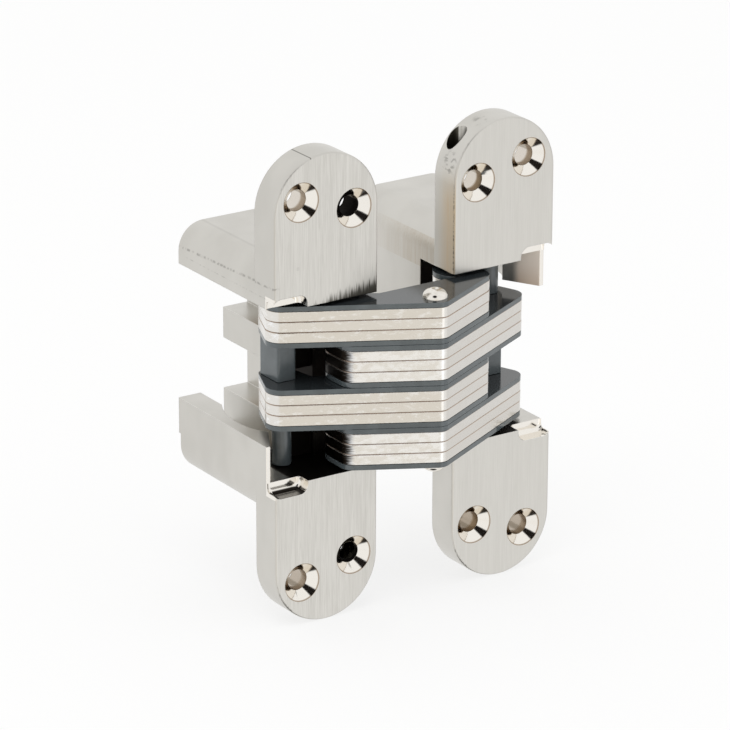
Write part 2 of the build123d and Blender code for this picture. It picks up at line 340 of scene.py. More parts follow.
def painted_lit_wall(x, y, across, up, facing):
    """The front of the slide wall's inner face, painted pale as if lit."""
    inward = (0 - facing.parts()[0] * x - across * WALL_TURN) > 0
    wall = inward * (up < POCKET_HALF) * (across > WALL_INNER) * (y > WALL_FRONT)
    return wall * (1 - y.smooth(*LIT_WALL_DEPTH))


print("pocket:", round(2 * POCKET_HALF / MM, 1), "mm high")

# %% [markdown]
# ### Marks from the workshop
#
# A hinge that has been milled, brushed and handled is not clean. There are two dotted milling lines along one
# rounded corner with a faint line of painted shade above, a painted dark reflection of the links where a
# plate ends at the pocket, a stained edge, a nick at the top of a rim and fingermarks below the pin's bore.
# Each mark is a small mask, made from the distance to a line or a point, and most have a little noise to
# break their edge.

# %% Milling lines, painted shade and a painted reflection
MILL_NOISE = (2 * MM, 1.1 * MM, 1.6 * MM)
MILL_SIDE = -38.6 * MM
UPPER_LEVEL = 27.83 * MM
UPPER_SLOPE = 0.032
UPPER_FADE = (0.05 * MM, 0.55 * MM)
UPPER_DASHES = (0.36, 0.60)
UPPER_DARK = 0.46
LOWER_LEVEL = 24.55 * MM
LOWER_FADE = (0.02 * MM, 0.28 * MM)
LOWER_DASHES = (0.44, 0.62)
LOWER_DARK = 0.34
# The crest is a faint line of painted shade where the rounding meets the flat top.
CREST_SIDE = -33.4 * MM
CREST_FADE = (0.1 * MM, 0.8 * MM)
CREST_LOW = 31.4 * MM
CREST_HIGH = 32.3 * MM
CREST_DARK = 0.20
# A painted reflection of the dark links, in one lower inner corner of a plate.
REFLECTED_SIDE = -29.5 * MM
REFLECTED_SLOPE = 0.22
REFLECTED_RAGGED = 3.4 * MM
REFLECTED_FADE = (-0.8 * MM, 2.2 * MM)
REFLECTED_LOW = 20 * MM
REFLECTED_DARK = 0.9


def milling_lines_and_crest_shade(place, x, y, z):
    """Two broken milling lines along the rounded corner of one end block, and a faint painted shade line
    above.
    """
    broken = place.scaled(*MILL_NOISE).noise(detail=2.0, rough=0.6)
    slanted = z + (y - face_y) * UPPER_SLOPE
    upper = slanted.near(UPPER_LEVEL, *UPPER_FADE) * broken.smooth(*UPPER_DASHES)
    lower = z.near(LOWER_LEVEL, *LOWER_FADE) * broken.smooth(*LOWER_DASHES)
    crest_shade = x.near(CREST_SIDE, *CREST_FADE) * (z > CREST_LOW) * (z < CREST_HIGH)
    return (x < MILL_SIDE) * (upper * UPPER_DARK + lower * LOWER_DARK) + crest_shade * CREST_DARK


def link_reflection_wedge(x, z, streak, face):
    """The dark wedge at one lower inner corner: a painted reflection of the dark links in the plate's edge.
    """
    wedge = (x - REFLECTED_SIDE) * REFLECTED_SLOPE + (streak - 0.5) * REFLECTED_RAGGED - (z - POCKET_HALF)
    return wedge.smooth(*REFLECTED_FADE) * (z > REFLECTED_LOW) * (x < 0) * face * REFLECTED_DARK


print("milling lines at", round(UPPER_LEVEL / MM, 1), "and", round(LOWER_LEVEL / MM, 1), "mm")

# %% Stained rim, fingermarks and a painted dark reflection
INNER_SIDE = 11.8 * MM
INNER_LOW = POCKET_HALF - 2 * MM
RIM_LEVELS = (38 * MM, 50 * MM)
WASH_DEPTH = (2.0 * MM, 8.0 * MM)
WASH_LEAST = 0.45
WASH_STREAKS = 0.55
WEB_FRONT = 8.6 * MM
WEB_LEVELS = (31 * MM, 33 * MM)
WEB_DEPTH = (12 * MM, 42 * MM)
WEB_LEAST = 0.12
WEB_STREAKS = 0.5
DOT_NOISE = (1 * MM, 1 * MM, 0.5 * MM)
DOT_RANGE = (0.40, 0.60)
EDGE_BACK = 0.45 * MM
EDGE_FADE = (0.08 * MM, 0.40 * MM)
EDGE_DARK = 0.6
FINGER_NOISE = (2.0 * MM, 1.9 * MM, 0.9 * MM)
FINGER_RANGE = (0.44, 0.66)
FINGER_DARK = 0.5
FINGERMARKS = (
    ("below the bore", (12.0 * MM, face_y + 3.6 * MM, 49.0 * MM), (1.4 * MM, 4.2 * MM), 1.0),
    ("top of the rim", (21.0 * MM, face_y + 4.0 * MM, 58.2 * MM), (1.2 * MM, 3.6 * MM), 0.8),
    ("lower rim", (15.2 * MM, face_y + 7.3 * MM, -54.6 * MM), (0.6 * MM, 2.2 * MM), 1.0),
)
NICK_SIDE = -29.7 * MM
NICK_FADE = (0.05 * MM, 0.24 * MM)
NICK_LOW = 57.4 * MM
NICK_DARK = 0.7
# A painted dark reflection along the lower lip of one notch.
LIP_LEVEL = -24.75 * MM
LIP_FADE = (0.25 * MM, 0.60 * MM)
LIP_INNER = -31.5 * MM
LIP_OUTER = -38.6 * MM


def stained_rim(place, x, y, z, streak, face):
    """Masks for one body's inner side: a wash on its rim, a streaky one on its web, and a dotted edge."""
    inner = (x > 0) * (x < INNER_SIDE) * (z > INNER_LOW) * (1 - face)
    rim = inner * (1 - z.smooth(*RIM_LEVELS))
    back = y - face_y
    wash = rim * (1 - back.smooth(*WASH_DEPTH)) * (WASH_LEAST + streak * WASH_STREAKS)
    web = inner * (back > WEB_FRONT) * (1 - z.smooth(*WEB_LEVELS)) * (1 - back.smooth(*WEB_DEPTH))
    dots = place.scaled(*DOT_NOISE).noise(detail=2.0, rough=0.7).smooth(*DOT_RANGE)
    edge = rim * dots * back.near(EDGE_BACK, *EDGE_FADE) * EDGE_DARK
    return wash, web * (WEB_LEAST + streak * WEB_STREAKS), edge


def handled_spots(place, x, z, face):
    """Fingermarks on one body's rims, and a nick in the other body's."""
    skin = place.scaled(*FINGER_NOISE).noise(detail=2.0, rough=0.6).smooth(*FINGER_RANGE)
    spots = sum((1 - place.away(spot).smooth(*fade)) * share for name, spot, fade, share in FINGERMARKS)
    nick = x.near(NICK_SIDE, *NICK_FADE) * (z > NICK_LOW)
    return (spots * skin * FINGER_DARK + nick * NICK_DARK) * (1 - face)


def notch_dark_reflection(x, z, bright):
    """A black crescent along the lower lip of one notch: a painted dark reflection."""
    return z.near(LIP_LEVEL, *LIP_FADE) * (x < LIP_INNER) * (x > LIP_OUTER) * bright


print("fingermarks:", [mark[0] for mark in FINGERMARKS])

# %% [markdown]
# ### The finish itself
#
# Brushing is noise stretched along the length: fine lines 0.16 mm wide and 9 mm long, on broader ones. It
# changes the colour a little and the roughness a little more. Edges are rubbed bright, as wear and as a
# painted
# highlight: the Bevel node eases the normal at a sharp edge, and where the eased and the true normal
# disagree there is an edge.
#
# The colours go on in layers, each through its own mask: plating, wear that is also a painted highlight,
# bright cuts, stains, painted shade in the pocket and the bores, marks, and the slide wall's painted light.

# %% Colours and sizes of the nickel
NICKEL = (0.66, 0.642, 0.603, 1.0)
NICKEL_DEEP = (0.60, 0.583, 0.545, 1.0)
NICKEL_PALE = (0.735, 0.718, 0.68, 1.0)
NICKEL_CUT = (0.88, 0.845, 0.79, 1.0)
# Rubbed edges: wear, and also a painted highlight along the edges.
NICKEL_RUBBED_HIGHLIGHT = (0.83, 0.815, 0.785, 1.0)
# Painted shade for the pocket: tan further back, black at its front.
POCKET_SHADE_TAN = (0.42, 0.36, 0.285, 1.0)
POCKET_SHADE_BLACK = (0.016, 0.013, 0.011, 1.0)
# Painted shade inside the bores.
BORE_SHADE_TAN = (0.29, 0.21, 0.13, 1.0)
RING_BROWN = (0.30, 0.22, 0.15, 1.0)
# Dark marks, also used for painted shade and painted dark reflections.
MARK_AND_SHADE_DARK = (0.085, 0.08, 0.066, 1.0)
STAIN_TAN = (0.62, 0.49, 0.33, 1.0)
WEB_TAN = (0.47, 0.39, 0.29, 1.0)
# The slide wall's matte front is painted pale as if lit, and tan nearer the middle of its height as painted
# shade.
WALL_PAINTED_LIGHT = (0.95, 0.85, 0.75, 1.0)
WALL_PAINTED_SHADE = (0.66, 0.50, 0.37, 1.0)
WALL_LEVELS = (9 * MM, 20 * MM)
FINE_LINES = (0.16 * MM, 0.16 * MM, 9 * MM)
BROAD_LINES = (0.7 * MM, 0.7 * MM, 16 * MM)
FINE_SHARE = 0.68
BROAD_SHARE = 0.32
STREAK_RANGE = (0.30, 0.70)
STREAK_TONE = 0.45
STREAK_STRONGER = 0.55
SCRATCHES = (0.11 * MM, 0.11 * MM, 5 * MM)
SCRATCH_RANGE = (0.60, 0.74)
SCRATCH_TONE = 0.2
SCRATCH_STRONGER = 0.5
CLOUDS = (9 * MM, 9 * MM, 14 * MM)
CLOUD_RANGE = (0.2, 0.8)
CASTING_EDGE = 0.3 * MM
RUB_RANGE = (0.02, 0.25)
RUB_SHARE = 0.6
RING_SHARE = 0.85
SATIN = 0.36
BRUSH_ROUGHER = 0.08
CUT_ROUGHER = -0.27
RUB_ROUGHER = -0.08
SHADE_ROUGHER = 0.22
BORE_SHADE_ROUGHER = 0.4
WALL_DULL = 0.9
WASH_DULL = 0.5
BRUSH_DEPTH = 0.006 * MM
SIDE_BRUSH = 0.2
print("nickel:", NICKEL[:3], "with a roughness of", SATIN)


# %% Brushed, polished, greasy and marked nickel
def brushing(place, x):
    """Fine lines, streaks, and a tone of streaks and scratches that is stronger on one plate."""
    fine = place.scaled(*FINE_LINES).noise(detail=3.0, rough=0.6)
    broad = place.scaled(*BROAD_LINES).noise(detail=2.0, rough=0.5)
    scratch = place.scaled(*SCRATCHES).noise(detail=1.0, rough=0.5).smooth(*SCRATCH_RANGE)
    streak = (fine * FINE_SHARE + broad * BROAD_SHARE).smooth(*STREAK_RANGE)
    stronger = x < 0
    tone = 0.5 + (streak - 0.5) * (STREAK_TONE + stronger * STREAK_STRONGER)
    tone = tone - scratch * (SCRATCH_TONE + stronger * SCRATCH_STRONGER)
    return fine, streak, tone


def nickel_casting():
    material, shader, board = new_finish("satin_nickel", {})
    place = board.node("ShaderNodeTexCoord", output="Object")
    facing = board.node("ShaderNodeTexCoord", output="Normal")
    x, y, z = place.parts()
    across, up = abs(x), abs(z)
    face = brushed_face(facing, y)
    bright = cut_bright(across, up, y, face)
    fine, streak, tone = brushing(place, x)
    tan, pocket = painted_pocket_shade(x, y, across, up, facing, (1 - face) * (1 - bright))
    wall = painted_lit_wall(x, y, across, up, facing)
    bores, bore_shade = screw_bores(x, y, z, across, up, facing, face)
    wash, web, edge = stained_rim(place, x, y, z, streak, face)
    eased, turned = rounded_edges(board, CASTING_EDGE)
    # Rubbed edges: wear, and also a painted highlight.
    rubbed_and_highlit = turned.smooth(*RUB_RANGE) * (1 - pocket)
    black = pocket * (1 - wall) + notch_dark_reflection(x, z, bright) + bore_shade
    # The marks include painted shade: the crest line, the pin bore's shaded side and the links' reflection
    # wedge.
    marks_and_shade = milling_lines_and_crest_shade(place, x, y, z) + handled_spots(place, x, z, face) + edge
    marks_and_shade = (marks_and_shade + link_reflection_wedge(x, z, streak, face) + pin_bore(x, y, z, across, up)).smooth(0.0, 1.0)
    cloud = place.scaled(*CLOUDS).noise(detail=2.0, rough=0.5).smooth(*CLOUD_RANGE)
    colour = face.mix(cloud.mix(NICKEL, NICKEL_DEEP), tone.mix(NICKEL_DEEP, NICKEL_PALE))
    # Among these layers, the bores, the pocket's tan and black and part of the marks are painted shade or
    # painted dark reflections, the rubbed edges are partly a painted highlight, and the wall is painted pale
    # as if lit.
    layers = (
        (rubbed_and_highlit * RUB_SHARE, NICKEL_RUBBED_HIGHLIGHT),
        (bright, NICKEL_CUT),
        (sink_rings(across, up) * bright * RING_SHARE, RING_BROWN),
        (wash, STAIN_TAN),
        (web, WEB_TAN),
        (bores, BORE_SHADE_TAN),
        (tan * (1 - wall), POCKET_SHADE_TAN),
        (black, POCKET_SHADE_BLACK),
        (marks_and_shade, MARK_AND_SHADE_DARK),
        (wall, up.smooth(*WALL_LEVELS).mix(WALL_PAINTED_SHADE, WALL_PAINTED_LIGHT)),
    )
    for mask, tint in layers:
        colour = mask.mix(colour, tint)
    roughness = SATIN + face * (streak - 0.5) * BRUSH_ROUGHER
    roughness = roughness + bright * CUT_ROUGHER + rubbed_and_highlit * RUB_ROUGHER
    roughness = roughness + (bores + black) * SHADE_ROUGHER + bore_shade * BORE_SHADE_ROUGHER
    metal = 1 - wall * WALL_DULL - wash * WASH_DULL
    height = fine * face + fine * (1 - face) * (1 - bright) * SIDE_BRUSH
    normal = bumped(height, BRUSH_DEPTH, eased)
    feed(shader, Base_Color=colour, Roughness=roughness, Metallic=metal, Normal=normal)
    return material


nickel = nickel_casting()
print("finish:", nickel.name)

# %% [markdown]
# ## Stamped steel of the links
#
# Each link is three stamped plates, and a press leaves a sheared edge: nearly a mirror, with fine lines along
# it, small bright blotches where the tool dragged, and a thin brown seam where two plates meet. The finish
# reads three numbers that the plates will carry: `edge_level`, which is 1 at a plate's top and -1 at its
# bottom, `plate_tone`, one random number for each plate, and `drag`, how hard the tool dragged. On the set
# that was dragged, the ends turning into the left body are painted black, as a painted reflection of the
# dark pocket.

# %% Sheared plate edges
STEEL_WARM = (0.775, 0.75, 0.71, 1.0)
STEEL_WHITE = (0.95, 0.955, 0.965, 1.0)
SEAM_BROWN = (0.34, 0.225, 0.145, 1.0)
# A painted dark reflection of the pocket, on the dragged set's ends in the left body.
EYE_DARK_REFLECTION = (0.016, 0.012, 0.009, 1.0)
SEAM_LEVELS = (0.84, 0.97)
SEAM_SHARE = 0.8
STEEL_PATCHES = (2.2 * MM, 2.2 * MM, 1.1 * MM)
STEEL_GRAIN = (0.5 * MM, 0.5 * MM, 0.35 * MM)
SHEAR_LINES = (2.4 * MM, 2.4 * MM, 0.10 * MM)
LEFT_TURN = (-0.2, 0.3)
DARK_REFLECTION_TURN = (0.52, 0.92)
DARK_REFLECTION_RAGGED = 0.6
PATCH_SHARE = 0.78
GRAIN_SHARE = 0.22
DRAG_SHARE = 0.09
BLOTCH_RANGE = (0.49, 0.72)
BLOTCH_LEAST = 0.2
BLOTCH_LEFT = 0.8
BLOTCH_WHITE = 0.8
DRAGGED_LESS = 0.15
TONE_SPREAD = 0.2
DRAG_WHITE = 0.46
SHEARED = 0.17
BLOTCH_ROUGHER = 0.1
DARK_REFLECTION_ROUGHER = 0.2
LINE_HEIGHT = 0.6
GRAIN_HEIGHT = 0.4
SHEAR_DEPTH = 0.0035 * MM
STEEL_EDGE = 0.12 * MM


def carried(board, name):
    return board.node("ShaderNodeAttribute", {"attribute_name": name}, output="Fac")


def stamped_steel():
    material, shader, board = new_finish("stamped_steel", {"Metallic": 1.0})
    place = board.node("ShaderNodeTexCoord", output="Object")
    facing = board.node("ShaderNodeTexCoord", output="Normal")
    drag = carried(board, "drag")
    tone = carried(board, "plate_tone")
    seam = abs(carried(board, "edge_level")).smooth(*SEAM_LEVELS)
    patch = place.scaled(*STEEL_PATCHES).noise(detail=2.0, rough=0.6)
    grain = place.scaled(*STEEL_GRAIN).noise(detail=2.0, rough=0.6)
    lines = place.scaled(*SHEAR_LINES).noise(detail=2.0, rough=0.6)
    leftward = 0 - facing.parts()[0]
    left_arm = leftward.smooth(*LEFT_TURN)
    ragged = leftward + (lines - 0.5) * DARK_REFLECTION_RAGGED
    # Painted dark reflection where the dragged set turns into the left body.
    painted_black = drag * (place.parts()[0] < 0) * ragged.smooth(*DARK_REFLECTION_TURN)
    blotch = (patch * PATCH_SHARE + grain * GRAIN_SHARE + drag * DRAG_SHARE).smooth(*BLOTCH_RANGE)
    blotch = blotch * (BLOTCH_LEAST + left_arm * BLOTCH_LEFT)
    white = blotch * (BLOTCH_WHITE - drag * DRAGGED_LESS) + (tone - 0.5) * TONE_SPREAD
    white = white + drag * left_arm * DRAG_WHITE
    colour = (seam * SEAM_SHARE).mix(white.mix(STEEL_WARM, STEEL_WHITE), SEAM_BROWN)
    colour = painted_black.mix(colour, EYE_DARK_REFLECTION)
    roughness = SHEARED + (blotch + seam) * BLOTCH_ROUGHER + painted_black * DARK_REFLECTION_ROUGHER
    eased = rounded_edges(board, STEEL_EDGE)[0]
    height = lines * LINE_HEIGHT + grain * GRAIN_HEIGHT
    feed(shader, Base_Color=colour, Roughness=roughness, Normal=bumped(height, SHEAR_DEPTH, eased))
    return material


steel = stamped_steel()
print("finish:", steel.name)

# %% [markdown]
# ## Blue-grey plastic of the washers and sliders
#
# The washers between the links, the guide blocks and the sleeves are moulded plastic. It is smooth enough to
# mirror the steel beside it, and that mirror is what makes it read as plastic. A faint cloud in the colour
# and a very shallow ripple keep the surface from looking like a flat fill. Rubbed edges are a little paler,
# as wear and as a painted highlight, and the washers' level faces are painted darker as shade.

# %% Moulded plastic
# Paler rubbed edges of the plastic: wear, and also a painted highlight.
GREY_RUBBED_HIGHLIGHT = (0.20, 0.235, 0.26, 1.0)
# The washers' level faces are painted darker as shade.
GREY_SHADED_FLAT = (0.026, 0.031, 0.034, 1.0)
GREY_DEEP = (0.062, 0.077, 0.084, 1.0)
GREY_PALE = (0.084, 0.102, 0.110, 1.0)
PLASTIC_IOR = 1.72
FLAT_TURN = (0.75, 0.97)
PLASTIC_CLOUDS = (4 * MM, 4 * MM, 4 * MM)
PLASTIC_CLOUD_RANGE = (0.3, 0.7)
PLASTIC_GRAIN = (0.3 * MM, 0.3 * MM, 0.3 * MM)
PLASTIC_EDGE = 0.18 * MM
PLASTIC_RUB_RANGE = (0.03, 0.3)
PLASTIC_RUB_SHARE = 0.5
WASHER_ROUGH = 0.10
SLIDER_ROUGH = 0.20
CLOUD_ROUGHER = 0.06
RIPPLE_DEPTH = 0.0025 * MM


def moulded_plastic(name, flat, deep, pale, rough):
    """Level faces take the flat colour, for washers a painted shade, and the rims lie between deep and pale.
    """
    material, shader, board = new_finish(name, {"Metallic": 0.0, "IOR": PLASTIC_IOR})
    place = board.node("ShaderNodeTexCoord", output="Object")
    facing = board.node("ShaderNodeTexCoord", output="Normal")
    level = abs(facing.parts()[2]).smooth(*FLAT_TURN)
    cloud = place.scaled(*PLASTIC_CLOUDS).noise(detail=3.0, rough=0.55)
    grain = place.scaled(*PLASTIC_GRAIN).noise(detail=2.0, rough=0.5)
    eased, turned = rounded_edges(board, PLASTIC_EDGE)
    # Rubbed edges are paler: wear, and also a painted highlight.
    rubbed_and_highlit = turned.smooth(*PLASTIC_RUB_RANGE) * PLASTIC_RUB_SHARE
    colour = level.mix(cloud.smooth(*PLASTIC_CLOUD_RANGE).mix(deep, pale), flat)
    colour = rubbed_and_highlit.mix(colour, GREY_RUBBED_HIGHLIGHT)
    roughness = rough + cloud * CLOUD_ROUGHER
    feed(shader, Base_Color=colour, Roughness=roughness, Normal=bumped(grain, RIPPLE_DEPTH, eased))
    return material


washer_plastic = moulded_plastic("washer_plastic", GREY_SHADED_FLAT, GREY_DEEP, GREY_PALE, WASHER_ROUGH)
slider_plastic = moulded_plastic("slider_plastic", GREY_DEEP, GREY_DEEP, GREY_PALE, SLIDER_ROUGH)
print("finishes:", washer_plastic.name, slider_plastic.name)

# %% [markdown]
# ## Polished rivet and pins
#
# The rivet and the pins are bright steel. A polished dome mirrors the whole studio, so its colour hardly
# varies, but a faint haze and fine hairline scratches break the mirror.

# %% Polished steel
PIN_DEEP = (0.78, 0.74, 0.68, 1.0)
PIN_PALE = (0.86, 0.83, 0.78, 1.0)
PIN_HAZE = (1.2 * MM, 1.2 * MM, 1.2 * MM)
HAZE_RANGE = (0.3, 0.7)
PIN_HAIRS = (0.12 * MM, 0.12 * MM, 2 * MM)
PIN_EDGE = 0.12 * MM
POLISHED = 0.07
HAZE_ROUGHER = 0.07
HAIR_DEPTH = 0.001 * MM


def polished_steel():
    material, shader, board = new_finish("polished_steel", {"Metallic": 1.0})
    place = board.node("ShaderNodeTexCoord", output="Object")
    haze = place.scaled(*PIN_HAZE).noise(detail=3.0, rough=0.6)
    hair = place.scaled(*PIN_HAIRS).noise(detail=2.0, rough=0.5)
    eased = rounded_edges(board, PIN_EDGE)[0]
    colour = haze.smooth(*HAZE_RANGE).mix(PIN_DEEP, PIN_PALE)
    roughness = POLISHED + haze * HAZE_ROUGHER
    feed(shader, Base_Color=colour, Roughness=roughness, Normal=bumped(hair, HAIR_DEPTH, eased))
    return material


bright_pin = polished_steel()
print("finish:", bright_pin.name)

# %% [markdown]
# ## Dressing the CAD pieces
#
# A CAD piece whose shape is right needs nothing but its finish. The record says which slot every piece takes,
# so one loop can dress them all. The links and the rivet are made again below, from these same pieces.

# %% Give each CAD piece its finish
FINISHES = {
    "nickel_casting": nickel,
    "link_steel": steel,
    "grey_washer": washer_plastic,
    "grey_slider": slider_plastic,
    "polished_pin": bright_pin,
}
for row in frame["record"]["subparts"]:
    piece = frame["nodes"][row["node"]]
    piece.data.materials.clear()
    piece.data.materials.append(FINISHES[row["material_slot"]])
print("dressed", len(frame["nodes"]), "CAD pieces")

# %% [markdown]
# ## A stack of links from one plate
#
# The links repeat: three plates between two washers, twice in each set, and one tool stamped every plate.
# Copying twenty solids would work, but a Geometry Nodes tree says it better. It takes one plate, lays out the
# levels of the links and of the plates in a link, shifts each plate by a hair as an assembler does, and
# writes down the numbers that the finish reads. One tree serves the plates and the washers.

# %% The tree that stacks plates
LEVEL_SCALE = 2.0


def named_inputs(tree, rows):
    for name, kind in rows:
        tree.interface.new_socket(name, in_out="INPUT", socket_type=kind)
    tree.interface.new_socket("Geometry", in_out="OUTPUT", socket_type="NodeSocketGeometry")


def stack_tree():
    tree = bpy.data.node_groups.new("stacked_links", "GeometryNodeTree")
    named_inputs(tree, (("Geometry", "NodeSocketGeometry"), ("Links", "NodeSocketInt"),
                        ("First Link", "NodeSocketFloat"), ("Link Spacing", "NodeSocketFloat"),
                        ("Plates", "NodeSocketInt"), ("First Plate", "NodeSocketFloat"),
                        ("Plate Spacing", "NodeSocketFloat"), ("Thickness", "NodeSocketFloat"),
                        ("Shift", "NodeSocketFloat"), ("Drag", "NodeSocketFloat"),
                        ("Seed", "NodeSocketInt"), ("Finish", "NodeSocketMaterial")))
    board = Wire(tree)
    given = tree.nodes.new("NodeGroupInput")
    size = {socket.name: Wire(tree, socket) for socket in given.outputs}

    def levels(count, first, spacing):
        start = board.node("ShaderNodeCombineXYZ", None, {"Z": first})
        step = board.node("ShaderNodeCombineXYZ", None, {"Z": 0 - spacing})
        inputs = {"Count": count, "Start Location": start, "Offset": step}
        return board.node("GeometryNodeMeshLine", None, inputs)

    def store(geometry, name, domain, value):
        settings = {"data_type": "FLOAT", "domain": domain}
        inputs = {"Geometry": geometry, "Name": name, "Value": value}
        return board.node("GeometryNodeStoreNamedAttribute", settings, inputs)

    height = board.node("GeometryNodeInputPosition").parts()[2] * LEVEL_SCALE / size["Thickness"]
    plate = store(size["Geometry"], "edge_level", "POINT", height)
    links = levels(size["Links"], size["First Link"], size["Link Spacing"])
    in_link = levels(size["Plates"], size["First Plate"], size["Plate Spacing"])
    spots = board.node("GeometryNodeInstanceOnPoints", None, {"Points": links, "Instance": in_link})
    spots = board.node("GeometryNodeRealizeInstances", None, {"Geometry": spots})
    reach = board.node("ShaderNodeCombineXYZ", None, {"X": size["Shift"], "Y": size["Shift"]})
    less = board.node("ShaderNodeCombineXYZ", None, {"X": 0 - size["Shift"]})
    hair = board.node("FunctionNodeRandomValue", {"data_type": "FLOAT_VECTOR"},
                      {0: less, 1: reach, "Seed": size["Seed"]})
    spots = board.node("GeometryNodeSetPosition", None, {"Geometry": spots, "Offset": hair})
    stack = board.node("GeometryNodeInstanceOnPoints", None, {"Points": spots, "Instance": plate})
    tone = board.node("FunctionNodeRandomValue", {"data_type": "FLOAT"}, {"Seed": size["Seed"]}, output=1)
    stack = store(stack, "plate_tone", "INSTANCE", tone)
    stack = store(stack, "drag", "INSTANCE", size["Drag"])
    stack = board.node("GeometryNodeRealizeInstances", None, {"Geometry": stack})
    stack = board.node("GeometryNodeSetMaterial", None, {"Geometry": stack, "Material": size["Finish"]})
    result = tree.nodes.new("NodeGroupOutput")
    tree.links.new(stack.socket, result.inputs["Geometry"])
    return tree


link_tree = stack_tree()
print("tree:", link_tree.name, "with", len(link_tree.nodes), "nodes")

# %% [markdown]
# The tree needs one clean plate to copy. A CAD piece comes in as loose triangles, so a copy has its corners
# merged, and edges sharper than 30 degrees stay sharp while the rounds are shaded smooth. The levels are read
# from the CAD pieces too, so a thicker plate in the CAD model gives a thicker stack here.

# %% Plates to copy, and the levels they go to
SHARP = math.radians(30)
MERGE = 0.002 * MM


def middle(node):
    low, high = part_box(node)
    return (low.z + high.z) / 2


def loose_plate(node, name):
    """A merged copy of a CAD plate, with its middle at level 0."""
    source = frame["nodes"][node].data
    down = Vector((0, 0, middle(node)))
    mesh = bpy.data.meshes.new(name)
    mesh.from_pydata([v.co - down for v in source.vertices], [], [tuple(p.vertices) for p in source.polygons])
    shape = bmesh.new()
    shape.from_mesh(mesh)
    bmesh.ops.remove_doubles(shape, verts=shape.verts, dist=MERGE)
    for side in shape.faces:
        side.smooth = True
    shape.to_mesh(mesh)
    shape.free()
    mesh.set_sharp_from_angle(angle=SHARP)
    return mesh


def stacked_piece(name, parts, links, finish, sizes):
    """Stack copies of one part through two links, and turn the result into a plain mesh."""
    names = [[f"link_{link}_{part}" for part in parts] for link in links]
    low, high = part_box(names[0][0])
    link_middle = (middle(names[0][0]) + middle(names[0][-1])) / 2
    next_middle = (middle(names[1][0]) + middle(names[1][-1])) / 2
    top = middle(names[0][0])
    values = {"Links": len(links), "First Link": link_middle, "Link Spacing": link_middle - next_middle,
              "Plates": len(parts), "First Plate": top - link_middle,
              "Plate Spacing": top - middle(names[0][1]), "Thickness": high.z - low.z,
              "Finish": finish, **sizes}
    piece = bpy.data.objects.new(name, loose_plate(names[0][0], name + "_plate"))
    bpy.context.scene.collection.objects.link(piece)
    stack = piece.modifiers.new("stack", "NODES")
    stack.node_group = link_tree
    for item in link_tree.interface.items_tree:
        if item.in_out == "INPUT" and item.name in values:
            stack[item.identifier] = values[item.name]
    solid = bpy.data.meshes.new_from_object(piece.evaluated_get(bpy.context.evaluated_depsgraph_get()))
    piece.modifiers.remove(stack)
    piece.data = solid
    return piece, [node for row in names for node in row]


print("corners closer than", MERGE / MM, "mm are merged")

# %% Stack both sets of links
STACKS = (
    ("plates", ("plate_1", "plate_2", "plate_3"), "link_steel"),
    ("washers", ("upper_washer", "lower_washer"), "grey_washer"),
)
SETS = (("set_a", "link_set_a", (1, 3), 0.0, 5), ("set_b", "link_set_b", (2, 4), 1.0, 9))
PLATE_SHIFT = 0.05 * MM
for set_name, body, links, drag, seed in SETS:
    sizes = {"Shift": PLATE_SHIFT, "Drag": drag, "Seed": seed}
    for part_name, parts, slot in STACKS:
        piece, nodes = stacked_piece(f"{set_name}_{part_name}", parts, links, FINISHES[slot], sizes)
        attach(piece, body)
        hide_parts(*nodes)
        print(piece.name, "stands for", len(nodes), "nodes,", len(piece.data.polygons), "faces")

# %% [markdown]
# ## The centre rivet
#
# The rivet's head is a low dome with a shallow dimple, where the tool that set it pressed. A lathe makes such
# a shape, and Blender's spin does the same: one half profile, turned round the axis.

# %% Turn the rivet
RIVET_STEPS = 64
DOME_POINTS = 14
DOME_POWER = 0.8
DIMPLE_RADIUS = 0.95 * MM
DIMPLE_DEPTH = 0.30 * MM
SHANK_RADIUS = 2.5 * MM


def head_profile(radius, foot, top):
    """Half of a domed head, from the shank out to the rim and over to the axis."""
    points = [(SHANK_RADIUS, foot)]
    for step in range(DOME_POINTS + 1):
        angle = math.pi / 2 * step / DOME_POINTS
        reach = radius * math.cos(angle) ** DOME_POWER if step < DOME_POINTS else 0.0
        sunk = max(0.0, 1 - (reach / DIMPLE_RADIUS) ** 2) ** 2 * DIMPLE_DEPTH
        sign = 1 if top > foot else -1
        points.append((reach, foot + (top - foot) * math.sin(angle) - sign * sunk))
    return points


def turned_rivet():
    low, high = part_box("centre_rivet")
    stack_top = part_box("link_1_upper_washer")[1].z
    stack_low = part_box("link_4_lower_washer")[0].z
    axis = (low + high) / 2
    radius = (high.x - low.x) / 2
    upper = head_profile(radius, stack_top, high.z)
    lower = head_profile(radius, stack_low, low.z)
    shape = bmesh.new()
    outline = [shape.verts.new((axis.x + reach, axis.y, rise)) for reach, rise in lower[::-1] + upper]
    edges = [shape.edges.new(pair) for pair in zip(outline, outline[1:])]
    bmesh.ops.spin(shape, geom=outline + edges, cent=axis, axis=(0, 0, 1), angle=math.tau, steps=RIVET_STEPS)
    bmesh.ops.remove_doubles(shape, verts=shape.verts, dist=MERGE)
    bmesh.ops.recalc_face_normals(shape, faces=shape.faces)
    for side in shape.faces:
        side.smooth = True
    mesh = bpy.data.meshes.new("turned_rivet")
    shape.to_mesh(mesh)
    shape.free()
    mesh.set_sharp_from_angle(angle=SHARP)
    mesh.materials.append(bright_pin)
    rivet = bpy.data.objects.new("turned_rivet", mesh)
    bpy.context.scene.collection.objects.link(rivet)
    return rivet


rivet = turned_rivet()
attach(rivet, "link_set_b")
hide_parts("centre_rivet")
print("rivet:", len(rivet.data.polygons), "faces")

